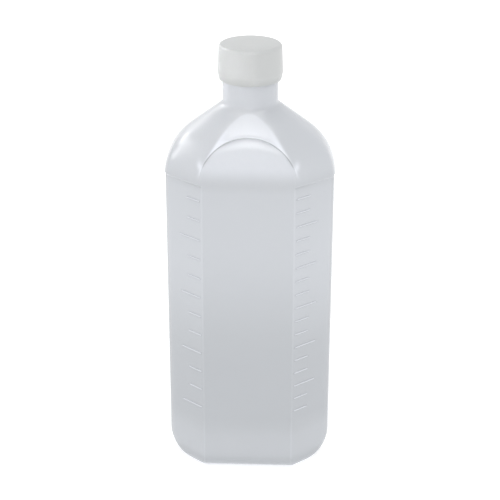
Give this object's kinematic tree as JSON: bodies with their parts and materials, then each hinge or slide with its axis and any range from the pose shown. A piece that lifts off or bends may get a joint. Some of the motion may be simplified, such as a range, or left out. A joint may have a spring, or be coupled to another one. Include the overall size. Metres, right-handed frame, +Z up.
{
  "type": "screw-cap bottle",
  "caption": "Tall flat octagonal bottle in translucent plastic with arched panels, raised scale marks, a short round neck and a smooth screw cap that unscrews.",
  "frame": {"origin": "centre of the base, on the surface the bottle stands on", "axes": "+Z up along the neck; the wide front panel faces -Y; +X runs across it to the right"},
  "size_m": [0.083, 0.0512, 0.2188],
  "materials": {
    "bottle_plastic": "translucent milky blow-moulded polyethylene, satin",
    "cap_plastic": "milky white injection-moulded polypropylene, satin",
    "liner_foam": "white foamed polyethylene, matt"
  },
  "bodies": {
    "bottle": {"bottle_body": "bottle_plastic"},
    "liner": {"cap_liner": "liner_foam"},
    "cap": {"screw_cap": "cap_plastic"}
  },
  "joints": [
    {"name": "cap_rise", "type": "slide", "parent": "bottle", "child": "liner", "axis": [0, 0, 1], "range_m": [0, 0.0181]},
    {"name": "cap_turn", "type": "hinge", "parent": "liner", "child": "cap", "pos_m": [0, 0, 0.2015], "axis": [0, 0, 1], "range_deg": [0, 1620]}
  ],
  "couplings": [
    {"joint": "cap_rise", "follows": "cap_turn", "m_per_rad": 0.00063662}
  ]
}
